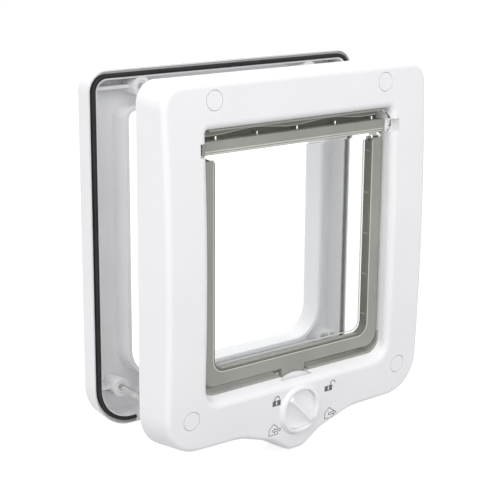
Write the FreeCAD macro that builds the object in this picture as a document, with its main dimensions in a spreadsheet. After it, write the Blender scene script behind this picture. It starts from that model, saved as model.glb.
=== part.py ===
import FreeCAD, Part
import Sketcher
import math
import os

# Four way cat flap in two halves, clamped either side of a door leaf.
# Millimetres. X runs to the right seen from indoors, Y runs outdoors through
# the door, Z is up. The origin is the middle of the passage on the plane
# where the inner half meets the door.

os.makedirs("parts", exist_ok=True)
doc = FreeCAD.newDocument("cat_flap")
V = FreeCAD.Vector

# Driving dimensions
sheet = doc.addObject("Spreadsheet::Sheet", "dims")
DIMS = [
    ("outer_width", 211.0), ("outer_top", 111.0), ("outer_foot", 112.0),
    ("foot_drop", 19.0), ("front_depth", 19.5), ("bow", 7.5), ("wall", 2.6),
    ("passage_width", 147.0), ("passage_top", 82.5), ("passage_foot", 80.0),
    ("door_leaf", 49.0), ("rear_depth", 16.0), ("rear_foot", 115.0),
    ("rear_open_width", 155.2), ("rear_open_top", 85.0), ("rear_open_foot", 85.5),
    ("top_screw_in", 38.2), ("top_screw_z", 99.5),
    ("low_screw_in", 20.3), ("low_screw_z", 89.6),
    ("cap_radius", 5.7), ("screw_radius", 2.0),
    ("hinge_z", 73.0), ("hinge_back", 15.5), ("rod_radius", 2.0),
    ("disc_radius", 7.8), ("flap_gap", 2.0), ("flap_foot", 74.7),
    ("flap_front", 17.3), ("flap_thick", 8.0), ("tab_width", 18.6),
    ("tab_drop", 9.8), ("dial_z", 101.7), ("dial_radius", 13.2),
    ("shaft_radius", 4.5), ("cam_radius", 23.2), ("gasket_width", 3.6),
    ("gasket_proud", 1.3), ("draft", 5.5),
]
for row, (alias, value) in enumerate(DIMS, start=1):
    sheet.set("A%d" % row, alias)
    sheet.set("B%d" % row, repr(value))
    sheet.setAlias("B%d" % row, alias)
doc.recompute()
VALUES = dict(DIMS)


def ex(text):
    """Write a formula of dimension words as a sheet expression."""
    out, word = "", ""
    for ch in text + " ":
        if ch.isalnum() or ch == "_":
            word += ch
        else:
            out += ("dims." + word) if word in VALUES else word
            word = ""
            out += ch
    return out.strip()


def val(text):
    """Value of the same formula now."""
    obj = doc.getObject("probe") or doc.addObject("App::FeaturePython", "probe")
    if not hasattr(obj, "number"):
        obj.addProperty("App::PropertyFloat", "number")
    obj.setExpression("number", ex(text))
    doc.recompute([obj])
    return obj.number


def mm(text):
    return "(" + ex(text) + ") * 1 mm"


def put(obj, x="0", y="0", z="0"):
    obj.setExpression(".Placement.Base.x", mm(x))
    obj.setExpression(".Placement.Base.y", mm(y))
    obj.setExpression(".Placement.Base.z", mm(z))


def box(name, x0, x1, y0, y1, z0, z1):
    b = doc.addObject("Part::Box", name)
    b.setExpression("Length", mm("(%s) - (%s)" % (x1, x0)))
    b.setExpression("Width", mm("(%s) - (%s)" % (y1, y0)))
    b.setExpression("Height", mm("(%s) - (%s)" % (z1, z0)))
    put(b, x0, y0, z0)
    return b


def cyl_y(name, r, y0, y1, x="0", z="0"):
    """Round bar running along Y."""
    c = doc.addObject("Part::Cylinder", name)
    c.setExpression("Radius", mm(r))
    c.setExpression("Height", mm("(%s) - (%s)" % (y1, y0)))
    c.Placement = FreeCAD.Placement(V(0, 0, 0), FreeCAD.Rotation(V(1, 0, 0), -90))
    put(c, x, y0, z)
    return c


def cyl_x(name, r, x0, x1, y="0", z="0"):
    """Round bar running along X."""
    c = doc.addObject("Part::Cylinder", name)
    c.setExpression("Radius", mm(r))
    c.setExpression("Height", mm("(%s) - (%s)" % (x1, x0)))
    c.Placement = FreeCAD.Placement(V(0, 0, 0), FreeCAD.Rotation(V(0, 1, 0), 90))
    put(c, x0, y, z)
    return c


def fuse(name, parts):
    f = doc.addObject("Part::MultiFuse", name)
    f.Shapes = parts
    return f


def cut(name, base, tool):
    c = doc.addObject("Part::Cut", name)
    c.Base = base
    c.Tool = tool if not isinstance(tool, list) else fuse(name + "_tools", tool)
    return c


def common(name, a, b):
    c = doc.addObject("Part::MultiCommon", name)
    c.Shapes = [a, b]
    return c


def rrect(name, half, top, foot, rt, rb, y):
    """Upright rounded rectangle on the plane at y: half width, height above
    and depth below the origin, corner radii at the head and at the foot."""
    sk = doc.addObject("Sketcher::SketchObject", name)
    sk.Placement = FreeCAD.Placement(V(0, 0, 0), FreeCAD.Rotation(V(1, 0, 0), 90))
    h, t, b, r1, r2 = val(half), val(top), -val(foot), val(rt), val(rb)
    L = Part.LineSegment
    A = Part.ArcOfCircle
    C = Part.Circle
    n = V(0, 0, 1)
    pi = math.pi
    sk.addGeometry([
        L(V(-h + r1, t, 0), V(h - r1, t, 0)),
        A(C(V(h - r1, t - r1, 0), n, r1), 0, pi / 2),
        L(V(h, t - r1, 0), V(h, b + r2, 0)),
        A(C(V(h - r2, b + r2, 0), n, r2), -pi / 2, 0),
        L(V(h - r2, b, 0), V(-h + r2, b, 0)),
        A(C(V(-h + r2, b + r2, 0), n, r2), pi, 1.5 * pi),
        L(V(-h, b + r2, 0), V(-h, t - r1, 0)),
        A(C(V(-h + r1, t - r1, 0), n, r1), pi / 2, pi),
    ], False)
    K = Sketcher.Constraint
    sk.addConstraint([
        K("Tangent", 0, 2, 1, 2), K("Tangent", 1, 1, 2, 1),
        K("Tangent", 2, 2, 3, 2), K("Tangent", 3, 1, 4, 1),
        K("Tangent", 4, 2, 5, 2), K("Tangent", 5, 1, 6, 1),
        K("Tangent", 6, 2, 7, 2), K("Tangent", 7, 1, 0, 1),
        K("Horizontal", 0), K("Vertical", 2), K("Vertical", 6),
        K("Equal", 1, 7), K("Equal", 3, 5),
    ])
    rows = [
        (K("Radius", 1, r1), rt), (K("Radius", 3, r2), rb),
        (K("DistanceX", -1, 1, 2, 1, h), half),
        (K("DistanceX", 6, 1, -1, 1, h), half),
        (K("DistanceY", -1, 1, 0, 1, t), top),
        (K("DistanceY", 4, 1, -1, 1, -b), foot),
    ]
    for con, text in rows:
        i = sk.addConstraint(con)
        sk.setExpression("Constraints[%d]" % i, mm(text))
    put(sk, "0", y, "0")
    return sk


def outline(name, pts, y):
    """Upright outline on the plane at y from points given for the right side,
    head first, as (across, height) with heights below the origin marked."""
    sk = doc.addObject("Sketcher::SketchObject", name)
    sk.Placement = FreeCAD.Placement(V(0, 0, 0), FreeCAD.Rotation(V(1, 0, 0), 90))
    right = [(val(x), val(z) if up else -val(z)) for x, z, up in pts]
    n = len(right)
    ring = right + [(-x, z) for x, z in reversed(right)]
    m = len(ring)
    for i in range(m):
        a, b = ring[i], ring[(i + 1) % m]
        sk.addGeometry(Part.LineSegment(V(a[0], a[1], 0), V(b[0], b[1], 0)), False)
    K = Sketcher.Constraint
    for i in range(m):
        sk.addConstraint(K("Coincident", i, 2, (i + 1) % m, 1))
    for i, (x, z, up) in enumerate(pts):
        k = sk.addConstraint(K("DistanceX", -1, 1, i, 1, right[i][0]))
        sk.setExpression("Constraints[%d]" % k, mm(x))
        if up:
            k = sk.addConstraint(K("DistanceY", -1, 1, i, 1, right[i][1]))
        else:
            k = sk.addConstraint(K("DistanceY", i, 1, -1, 1, -right[i][1]))
        sk.setExpression("Constraints[%d]" % k, mm(z))
        sk.addConstraint(K("Symmetric", i, 1, m - 1 - i, 1, -2))
    put(sk, "0", y, "0")
    return sk


def prism(name, sk, length, taper=None, way=1):
    """Extrude an upright outline along Y."""
    e = doc.addObject("Part::Extrusion", name)
    e.Base = sk
    e.DirMode = "Custom"
    e.Dir = V(0, way, 0)
    e.Solid = True
    e.setExpression("LengthFwd", mm(length))
    if taper:
        e.setExpression("TaperAngle", "(" + ex(taper) + ") * 1 deg")
    return e


def slab(name, half, top, foot, rt, rb, y0, y1, taper=None):
    sk = rrect(name + "_line", half, top, foot, rt, rb, y0)
    return prism(name, sk, "(%s) - (%s)" % (y1, y0), taper)


def fillet(name, base, radius, test):
    """Round the edges of base that pass the test."""
    doc.recompute()
    f = doc.addObject("Part::Fillet", name)
    f.Base = base
    f.Edges = [(i, radius, radius) for i, e in enumerate(base.Shape.Edges, start=1) if test(e)]
    return f


def ends(e):
    return [v.Point for v in e.Vertexes]


# Inner half. The face is bowed: a wide cylinder across the width.
FACE = "front_depth + bow"
SPAN = "(outer_top + outer_foot + 13) / 2"
BOW_R = "((%s)^2 + bow^2) / (2 * bow)" % SPAN
MID = "0 - 6"


def face_at(z):
    """Depth of the face in front of the door plane at height z."""
    return "(front_depth + bow * (1 - ((%s) + 6)^2 / (%s)^2))" % (z, SPAN)


def outline_points(inset):
    i = inset
    return [
        ("outer_width / 2 + 20", "outer_top + 40", True),
        ("outer_width / 2 + 20", "outer_foot - %s" % i, False),
        ("46", "outer_foot + 1.2 - %s" % i, False),
        ("20 - %s * 0.35" % i, "outer_foot + 9.5 - %s" % i, False),
        ("6 - %s * 0.25" % i, "outer_foot + foot_drop - %s" % i, False),
    ]


def wedge(name, across, inset, depth):
    """Block whose two sides, or whose head, lean in with the draft of the mould."""
    sk = doc.addObject("Sketcher::SketchObject", name + "_line")
    tall = across == "head"
    sk.Placement = FreeCAD.Placement(V(0, 0, 0), FreeCAD.Rotation(V(0, 1, 0), 90) if tall else FreeCAD.Rotation())
    lean = "(%s) * tan(draft * 1 deg)" % depth
    if tall:
        pts = [("0 - outer_top + " + inset, "0"), ("0 - outer_top + %s + %s" % (inset, lean), "0 - (%s)" % depth),
               ("outer_foot + 60", "0 - (%s)" % depth), ("outer_foot + 60", "0")]
    else:
        W = "outer_width / 2 - " + inset
        pts = [(W, "0"), ("0 - (%s)" % W, "0"), ("0 - (%s) + %s" % (W, lean), "0 - (%s)" % depth),
               ("%s - %s" % (W, lean), "0 - (%s)" % depth)]
    at = [(val(a), val(b)) for a, b in pts]
    for k in range(4):
        a, b = at[k], at[(k + 1) % 4]
        sk.addGeometry(Part.LineSegment(V(a[0], a[1], 0), V(b[0], b[1], 0)), False)
    K = Sketcher.Constraint
    for k in range(4):
        sk.addConstraint(K("Coincident", k, 2, (k + 1) % 4, 1))
    for k, (a, b) in enumerate(pts):
        for kind, text, now in (("DistanceX", a, at[k][0]), ("DistanceY", b, at[k][1])):
            if abs(now) < 1e-9:
                sk.addConstraint(K("PointOnObject", k, 1, -1))
                continue
            if now > 0:
                c = sk.addConstraint(K(kind, -1, 1, k, 1, now))
                sk.setExpression("Constraints[%d]" % c, mm(text))
            else:
                c = sk.addConstraint(K(kind, k, 1, -1, 1, -now))
                sk.setExpression("Constraints[%d]" % c, mm("0 - (%s)" % text))
    e = doc.addObject("Part::Extrusion", name)
    e.Base = sk
    e.DirMode = "Custom"
    e.Dir = V(1, 0, 0) if tall else V(0, 0, 1)
    e.Solid = True
    e.Symmetric = True
    e.setExpression("LengthFwd", mm("2 * outer_top + 2 * outer_width"))
    return e


def rounded_outline(name, inset, y, length, grow):
    depth = "(%s)" % length
    sk = outline(name + "_line", outline_points(inset), "0")
    foot = doc.addObject("Part::Extrusion", name + "_foot")
    foot.Base = sk
    foot.DirMode = "Custom"
    foot.Solid = True
    foot.Dir = V(0, -1, 0)
    foot.setExpression("Dir.z", ex("tan(draft * 1 deg)"))
    foot.setExpression("LengthFwd", mm("(%s) / cos(draft * 1 deg)" % depth))
    sides = wedge(name + "_sides", "sides", inset, depth)
    head = wedge(name + "_head", "head", inset, depth)
    raw = common(name + "_raw", common(name + "_sided", foot, sides), head)
    doc.recompute()
    radii = {0: 13.0, 1: 25.0, 2: 40.0, 3: 30.0, 4: 10.0}
    W = "outer_width / 2 - " + inset
    corners = [(val(W), val("outer_top - " + inset)), (val(W), -val("outer_foot - " + inset))]
    corners += [(val(a), -val(b)) for a, b, up in outline_points(inset)[2:]]
    f = doc.addObject("Part::Fillet", name)
    f.Base = raw
    rows = []
    for i, e in enumerate(raw.Shape.Edges, start=1):
        ps = ends(e)
        if len(ps) != 2 or abs(ps[0].y - ps[1].y) < 5:
            continue
        p = max(ps, key=lambda q: q.y)
        k = min(range(5), key=lambda j: math.hypot(abs(p.x) - corners[j][0], p.z - corners[j][1]))
        r = radii[k] + (-inset_value(inset) if k in (0, 1, 4) else inset_value(inset)) * grow
        rows.append((i, r, r))
    f.Edges = rows
    return f


def inset_value(text):
    return val(text) if text != "0" else 0.0


shell_block = rounded_outline("shell_block", "0", "0", "front_depth + bow + 2", 1)
bow_drum = cyl_x("bow_drum", BOW_R, "0 - outer_width", "outer_width", "%s - (%s)" % (BOW_R, FACE), MID)
shell_bowed = common("shell_bowed", shell_block, bow_drum)


def on_face_rim(e):
    """Edges where the bowed face meets the skirt."""
    mids = [e.valueAt(e.FirstParameter + (e.LastParameter - e.FirstParameter) * k) for k in (0.2, 0.5, 0.8)]
    R = val(BOW_R)
    yc = R - val(FACE)
    return all(abs(math.hypot(p.y - yc, p.z + 6.0) - R) < 0.02 for p in mids)


shell_solid = fillet("shell_solid", shell_bowed, 3.5, on_face_rim)

hollow_block = rounded_outline("hollow_block", "wall", "1", "front_depth + bow + 4", 1)
hollow_drum = cyl_x("hollow_drum", "%s - wall" % BOW_R, "0 - outer_width", "outer_width",
                    "%s - (%s)" % (BOW_R, FACE), MID)
hollow = common("hollow", hollow_block, hollow_drum)

# Material kept inside the hollow: passage walls, screw columns, hinge blocks.
PW = "passage_width / 2"
passage_wall = slab("passage_wall", PW + " + 2.4", "passage_top + 2.4", "passage_foot + 2.4",
                    "6.4", "12.4", "0 - 40", "0 - 0.3")
funnel_wall = slab("funnel_wall", PW + " + 8.2", "passage_top + 4.6", "passage_foot + 11",
                   "8", "20", "0 - 40", "0 - 17.6")
TX = "(outer_width / 2 - top_screw_in)"
LX = "(outer_width / 2 - low_screw_in)"
SCREWS = [
    ("top_left", "0 - " + TX, "top_screw_z", "top_screw_z"),
    ("top_right", TX, "top_screw_z", "top_screw_z"),
    ("bottom_left", "0 - " + LX, "0 - low_screw_z", "0 - low_screw_z"),
    ("bottom_right", LX, "0 - low_screw_z", "0 - low_screw_z"),
]
keep = [passage_wall, funnel_wall]
for tag, x, z, zz in SCREWS:
    keep.append(cyl_y("column_head_" + tag, "cap_radius + 2", "0 - 40",
                      "7.5 - " + face_at(zz), x, z))
    keep.append(cyl_y("column_" + tag, "screw_radius + 3", "0 - 40", "0", x, z))
for side, x0, x1 in (("left", "0 - %s - 9.5" % PW, "0 - %s" % PW), ("right", PW, PW + " + 9.5")):
    keep.append(box("hinge_block_" + side, x0, x1, "0 - 40", "6 - hinge_back",
                    "hinge_z - 8", "hinge_z + 8"))
keep.append(cyl_y("dial_pad", "dial_radius + 1.5", "0 - 40", "2.7 - " + face_at("0 - dial_z"),
                  "0", "0 - dial_z"))
# Stiffening ribs from the screw columns to the skirt, and across the sides.
for tag, x, z, zz in SCREWS:
    sx = -1 if "left" in tag else 1
    edge = "outer_width / 2 - 1.5"
    a, b = ("0 - (%s)" % edge, x) if sx < 0 else (x, edge)
    keep.append(box("column_rib_" + tag, a, b, "0 - 40", "0 - 4", "(%s) - 0.9" % z, "(%s) + 0.9" % z))
for side, s in (("left", -1), ("right", 1)):
    for k, zr in enumerate(("0 - 48", "0 - 8", "32")):
        a, b = "%s + 1" % PW, "outer_width / 2 - 1.5"
        if s < 0:
            a, b = "0 - (%s)" % b, "0 - (%s)" % a
        keep.append(box("side_rib_%s_%d" % (side, k), a, b, "0 - 40", "0 - 6", "%s - 0.9" % zr, "%s + 0.9" % zr))

# The passage, its flared sill and the soft round of its mouth
passage = slab("passage", PW, "passage_top", "passage_foot", "2.5", "10", "0 - 40", "2")
funnel = doc.addObject("Part::Extrusion", "funnel")
funnel.Base = rrect("funnel_line", PW, "passage_top", "passage_foot", "2.5", "10", "0 - 18")
funnel.DirMode = "Custom"
funnel.Dir = V(0, -1, -0.8)
funnel.Solid = True
funnel.setExpression("LengthFwd", mm("bow * 2"))
shell_holed = cut("shell_holed", shell_solid, [passage, funnel])
shell_holed.Refine = True


def on_mouth(e):
    """Edges where the passage breaks through the bowed face."""
    return on_face_rim(e) and all(abs(p.x) < val(PW) + 1 and p.z > -100 for p in ends(e))


shell_mouth = fillet("shell_mouth", shell_holed, 4.2, on_mouth)
hollow_left = cut("hollow_left", hollow, keep)
shell_open = cut("shell_open", shell_mouth, hollow_left)

# Raised ring that the dial turns in
DF = face_at("0 - dial_z")
ring_cone = doc.addObject("Part::Cone", "ring_cone")
ring_cone.setExpression("Radius1", mm("dial_radius + 4.4"))
ring_cone.setExpression("Radius2", mm("dial_radius + 1.9"))
ring_cone.setExpression("Height", mm("7.3"))
ring_cone.Placement = FreeCAD.Placement(V(0, 0, 0), FreeCAD.Rotation(V(1, 0, 0), 90))
put(ring_cone, "0", "2.7 - " + DF, "0 - dial_z")
doc.recompute()
ring_top = min(v.Point.y for v in ring_cone.Shape.Vertexes)
dial_ring = fillet("dial_ring", ring_cone, 1.4,
                   lambda e: len(e.Vertexes) == 1 and abs(e.Vertexes[0].Point.y - ring_top) < 0.01)
shell_ring = fuse("shell_ring", [shell_open, dial_ring])


voids = []
for tag, x, z, zz in SCREWS:
    F = face_at(zz)
    voids.append(cyl_y("cap_seat_" + tag, "cap_radius + 0.3", "0 - 40", "6 - " + F, x, z))
    voids.append(cyl_y("shank_room_" + tag, "screw_radius + 0.2", "0 - 40", "2", x, z))
HY = "0 - hinge_back"
for side, x0, x1, n0, n1 in (
        ("left", "0 - %s - 8.0" % PW, "0", "0 - %s - 5.4" % PW, "0"),
        ("right", "0", PW + " + 8.0", "0", PW + " + 5.4")):
    voids.append(cyl_x("bearing_" + side, "rod_radius + 0.06", x0, x1, HY, "hinge_z"))
    voids.append(box("bearing_notch_" + side, n0, n1, "0 - 40", "rod_radius + 0.06 - hinge_back - 4.6",
                     "hinge_z - 5.6", "hinge_z + 2.6"))
# Room for the cam and the way out for the latch tab
voids.append(cyl_y("cam_room", "cam_radius + 0.7", "0 - 19.9", "0 - 10.2", "0", "0 - dial_z"))
voids.append(box("tab_way", "0 - tab_width / 2 - 1.6", "tab_width / 2 + 1.6", "0 - 19.55", "2",
                 "0 - flap_foot - tab_drop - 2.2", "0 - passage_foot + 1"))
voids.append(cyl_y("dial_seat", "dial_radius + 0.3", "0 - 40", "0 - " + DF + " - 0.1", "0", "0 - dial_z"))
voids.append(cyl_y("shaft_room", "shaft_radius + 0.06", "0 - 40", "0 - 10", "0", "0 - dial_z"))
# Pocket under the sill for the magnet
MX = "((passage_width / 2 - flap_gap - 9.5) * 40 / 62)"
front_shell = cut("front_shell", shell_ring, voids)
pocket_walls = box("pocket_walls", MX + " - 12", MX + " + 12", "0 - 17.5", "0 - 7.5",
                   "0 - passage_foot - 7.4", "0 - passage_foot - 0.4")
pocket_room = box("pocket_room", MX + " - 10.4", MX + " + 10.4", "0 - 15.6", "0 - 9.4",
                  "0 - passage_foot - 8", "0 - passage_foot - 2.0")
front_pocket = cut("front_pocket", fuse("front_with_pocket", [front_shell, pocket_walls]), pocket_room)
front_frame = front_pocket

# Outer half
RY = "door_leaf"
RB = "door_leaf + rear_depth"
OW = "outer_width / 2"
rear_raw = slab("rear_raw", OW, "outer_top", "rear_foot", "13", "27", RY, RB, "0 - draft")
rear_block = fillet("rear_block", rear_raw, 4.0,
                    lambda e: all(abs(p.y - (VALUES["door_leaf"] + VALUES["rear_depth"])) < 0.01 for p in ends(e)))
rear_hollow = slab("rear_hollow", OW + " - 6.0", "outer_top - 6.0", "rear_foot - 6.0", "7.5", "21",
                   RY + " - 2", RB + " - wall")
RW = "rear_open_width / 2"
rear_keep = [slab("collar", RW + " + 2.5", "rear_open_top + 2.5", "rear_open_foot + 2.5", "7.5", "22.5",
                  RY + " - 1", RB)]
for tag, x, z, zz in SCREWS:
    rear_keep.append(cyl_y("post_" + tag, "screw_radius + 4", RY, RB, x, z))
    s = -1 if "left" in tag else 1
    a, b = ("0 - (%s - 3)" % OW, x) if s < 0 else (x, OW + " - 3")
    rear_keep.append(box("post_rib_" + tag, a, b, RY + " + 5", RB + " - 1", "(%s) - 1" % z, "(%s) + 1" % z))
rear_shell = cut("rear_shell", rear_block, rear_hollow)
rear_full = fuse("rear_full", [rear_shell] + rear_keep)
rear_open = slab("rear_open", RW, "rear_open_top", "rear_open_foot", "5", "20", RY + " - 4", RB + " + 4")
rear_mouth_a = rrect("rear_mouth_a", RW + " - 0.01", "rear_open_top - 0.01", "rear_open_foot - 0.01",
                     "5", "20", RB + " - 2")
rear_mouth_b = rrect("rear_mouth_b", RW + " + 3", "rear_open_top + 3", "rear_open_foot + 3",
                     "8", "23", RB + " + 1")
rear_mouth = doc.addObject("Part::Loft", "rear_mouth")
rear_mouth.Sections = [rear_mouth_a, rear_mouth_b]
rear_mouth.Solid = True
rear_mouth.Ruled = True


def band(name, near, far, y0, y1, end="31"):
    """Ring that follows the rim of the outer half, open along the foot."""
    a = slab(name + "_a", OW + " - " + near, "outer_top - " + near, "rear_foot - " + near,
             "13 - " + near, "27 - " + near, y0, y1)
    far = "(" + far + ")"
    b = slab(name + "_b", OW + " - " + far, "outer_top - " + far, "rear_foot - " + far,
             "13 - " + far, "27 - " + far, y0 + " - 1", y1 + " + 1")
    gap = box(name + "_gap", "0 - (%s) + %s" % (OW, end), "%s - %s" % (OW, end), y0 + " - 1", y1 + " + 1",
              "0 - rear_foot - 5", "0 - rear_foot + 12")
    return cut(name, a, [b, gap])


groove = band("groove", "0.9", "gasket_width + 1.1", RY + " - 1", RY + " + 2")
rear_voids = [rear_open, rear_mouth, groove]
for tag, x, z, zz in SCREWS:
    rear_voids.append(cyl_y("pilot_" + tag, "screw_radius + 0.05", RY + " - 2", RY + " + 11.5", x, z))
    rear_voids.append(cyl_y("pilot_lead_" + tag, "screw_radius + 1.6", RY + " - 2", RY + " + 0.8", x, z))
rear_frame = cut("rear_frame", rear_full, rear_voids)

rear_gasket = band("rear_gasket", "1.2", "gasket_width + 0.8", RY + " - gasket_proud", RY + " + 2", "30.7")

# Caps and clamping screws
caps, screws = [], []
for tag, x, z, zz in SCREWS:
    F = face_at(zz)
    disc = cyl_y("cap_disc_" + tag, "cap_radius", "0 - 40", "2 - " + F, x, z)
    top = common("cap_top_of_" + tag, disc, bow_drum)
    stem_a = box("cap_stem_a_" + tag, "(%s) - 2.8" % x, "(%s) + 2.8" % x, "1.9 - " + F, "3.1 - " + F,
                 "(%s) - 0.5" % z, "(%s) + 0.5" % z)
    stem_b = box("cap_stem_b_" + tag, "(%s) - 0.5" % x, "(%s) + 0.5" % x, "1.9 - " + F, "3.1 - " + F,
                 "(%s) - 2.8" % z, "(%s) + 2.8" % z)
    caps.append(("cap_" + tag, fuse("cap_body_" + tag, [top, stem_a, stem_b])))
    head = cyl_y("head_" + tag, "screw_radius + 2.2", "3.4 - " + F, "6 - " + F, x, z)
    shank = cyl_y("shank_" + tag, "screw_radius", "5.9 - " + F, RY + " + 10.5", x, z)
    slot_a = box("slot_a_" + tag, "(%s) - 2.1" % x, "(%s) + 2.1" % x, "3 - " + F, "4.7 - " + F,
                 "(%s) - 0.45" % z, "(%s) + 0.45" % z)
    slot_b = box("slot_b_" + tag, "(%s) - 0.45" % x, "(%s) + 0.45" % x, "3 - " + F, "4.7 - " + F,
                 "(%s) - 2.1" % z, "(%s) + 2.1" % z)
    screws.append(("screw_" + tag, cut("screw_body_" + tag, fuse("screw_solid_" + tag, [head, shank]),
                                       [slot_a, slot_b])))

# Dial: a drum with two hollows that leave a diagonal grip, on a shaft that
# ends in a square for the cam.
DZ = "0 - dial_z"
drum_raw = cyl_y("drum_raw", "dial_radius", "0 - (%s) - 5.6" % DF, "0 - (%s) - 0.2" % DF, "0", DZ)
doc.recompute()
drum_front = min(v.Point.y for v in drum_raw.Shape.Vertexes)
drum = fillet("drum", drum_raw, 2.2, lambda e: len(e.Vertexes) == 1 and abs(e.Vertexes[0].Point.y - drum_front) < 0.01)
scoops = []
for tag, s in (("low", -1), ("high", 1)):
    c = doc.addObject("Part::Cylinder", "scoop_" + tag)
    c.setExpression("Radius", mm("dial_radius * 0.76"))
    c.setExpression("Height", mm("dial_radius * 4"))
    # The grip runs from upper left to lower right.
    d = math.sqrt(0.5)
    c.Placement = FreeCAD.Placement(V(0, 0, 0), FreeCAD.Rotation(V(0, 0, 1), V(d, 0, -d)))
    off = "dial_radius * 0.73 * %.6f * %d" % (d, s)
    back = "dial_radius * 2 * %.6f" % d
    put(c, "(%s) - (%s)" % (off, back), "0 - (%s) - dial_radius * 0.76 - 0.9" % DF, "(%s) + (%s) - dial_z" % (off, back))
    scoops.append(c)
grip = cut("grip", drum, scoops)
CF = "0 - 19.35"
shaft = cyl_y("shaft", "shaft_radius", "0 - (%s) - 0.3" % DF, CF, "0", DZ)
square = box("square", "0 - 3.2", "3.2", CF + " - 0.1", "0 - 12.0", "0 - dial_z - 3.2", "0 - dial_z + 3.2")
thread_room = cyl_y("thread_room", "1.5", "0 - 19.5", "0 - 11", "0", DZ)
lock_dial = cut("lock_dial", fuse("dial_solid", [grip, shaft, square]), thread_room)

# Cam: the near flange has two opposite lobes, the far flange is a half disc.
CR = "cam_radius"


def sector(name, y0, y1, start, sweep):
    """Slice of a disc about the dial axis, angles in degrees from +X."""
    c = doc.addObject("Part::Cylinder", name)
    c.setExpression("Radius", mm(CR))
    c.setExpression("Height", mm("(%s) - (%s)" % (y1, y0)))
    c.Angle = sweep
    c.Placement = FreeCAD.Placement(V(0, 0, 0), FreeCAD.Rotation(V(0, 1, 0), -start - sweep)
                                    .multiply(FreeCAD.Rotation(V(1, 0, 0), -90)))
    put(c, "0", y0, DZ)
    return c


near0, near1, far0, far1 = "0 - 19.3", "0 - 17.7", "0 - 13.3", "0 - 11.7"
cam_solid = fuse("cam_solid", [
    cyl_y("cam_hub", "8.5", near0, far1, "0", DZ),
    cyl_y("cam_near_disc", "13", near0, near1, "0", DZ),
    cyl_y("cam_far_disc", "13", far0, far1, "0", DZ),
    sector("lobe_up", near0, near1, 47, 86),
    sector("lobe_down", near0, near1, 227, 86),
    sector("half_disc", far0, far1, 137, 176),
])
cam_hole = box("cam_hole", "0 - 3.25", "3.25", "0 - 20", "0 - 11", "0 - dial_z - 3.25", "0 - dial_z + 3.25")
lock_cam = cut("lock_cam", cam_solid, cam_hole)
cam_washer = cut("cam_washer", cyl_y("washer_disc", "6", "0 - 11.7", "0 - 10.9", "0", DZ),
                 cyl_y("washer_hole", "1.6", "0 - 12", "0 - 10", "0", DZ))
cam_screw = cut("cam_screw", fuse("cam_screw_solid", [
    cyl_y("cam_screw_head", "3", "0 - 10.9", "0 - 8.9", "0", DZ),
    cyl_y("cam_screw_shank", "1.45", "0 - 19", "0 - 10.5", "0", DZ)]), [
    box("cam_slot_a", "0 - 1.7", "1.7", "0 - 10", "0 - 8", "0 - dial_z - 0.4", "0 - dial_z + 0.4"),
    box("cam_slot_b", "0 - 0.4", "0.4", "0 - 10", "0 - 8", "0 - dial_z - 1.7", "0 - dial_z + 1.7")])

# Flap
FH = "(passage_width / 2 - flap_gap)"
F0 = "0 - flap_front"
F1 = "0 - flap_front + flap_thick"
BAND = "1.4"
HEAD = "hinge_z + 6.0"
LINE = "hinge_z - 6.0"


def flap_slab(name, inset, y0, y1, top, r):
    return slab(name, FH + " - " + inset, top, "flap_foot - " + inset, "0.5", r, y0, y1)


pane_block = flap_slab("pane_block", "0", F0 + " + " + BAND, F1, LINE, "9")
channel = cut("channel", flap_slab("channel_a", "1.6", F0, F1 + " - 2", "hinge_z - 8", "7.4"),
              flap_slab("channel_b", "6.6", F0 + " - 1", F1 + " - 1", "hinge_z - 7", "3"))
window = flap_slab("window", "8.2", F0, F1 + " - 2", "hinge_z - 8", "2.4")
pane_cut = cut("pane_cut", pane_block, [channel, window])
bits = [pane_cut,
        box("pane_head", "0 - %s" % FH, FH, F1 + " - 2", F1, LINE + " - 1", HEAD)]
for side, x0, x1 in (("left", "0 - %s - 1.5" % FH, "0 - %s + 0.6" % FH), ("right", "%s - 0.6" % FH, "%s + 1.5" % FH)):
    bits.append(cyl_x("disc_" + side, "disc_radius", x0, x1, HY, "hinge_z"))
for k in range(5):
    zr = "0 - flap_foot + %d" % (22 + 27 * k)
    for side, x0, x1 in (("left", "0 - %s + 1" % FH, "0 - %s + 7" % FH), ("right", "%s - 7" % FH, "%s - 1" % FH)):
        bits.append(box("side_tie_%s_%d" % (side, k), x0, x1, F0 + " + " + BAND, F1 + " - 1",
                        "%s - 0.5" % zr, "%s + 0.5" % zr))
for k, step in enumerate(("(0 - 46) / 62", "(0 - 16) / 62", "16 / 62", "58 / 62")):
    x = "(%s - 9.5) * %s" % (FH, step)
    bits.append(box("foot_tie_%d" % k, "%s - 0.5" % x, "%s + 0.5" % x, F0 + " + " + BAND, F1 + " - 1",
                    "0 - flap_foot + 1", "0 - flap_foot + 7"))
panel_solid = fuse("panel_solid", bits)
rod_way = cyl_x("rod_way", "rod_radius + 0.02", "0 - passage_width", "passage_width", HY, "hinge_z")
bar_room = box("bar_room", "0 - %s + 0.1" % FH, "%s - 0.1" % FH, "0 - hinge_back - 6", "0 - hinge_back + 2.3",
               "hinge_z - 5.8", "hinge_z + 2.2")
liner_room = box("liner_room", "0 - %s + 1.4" % FH, "%s - 1.4" % FH, "0 - hinge_back + 2.2", F1 + " - 2",
                 "hinge_z - 5.8", HEAD + " + 1")
panel_bare = cut("panel_bare", panel_solid, [rod_way, bar_room, liner_room])
head_ribs, rib_rooms = [], []
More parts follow.
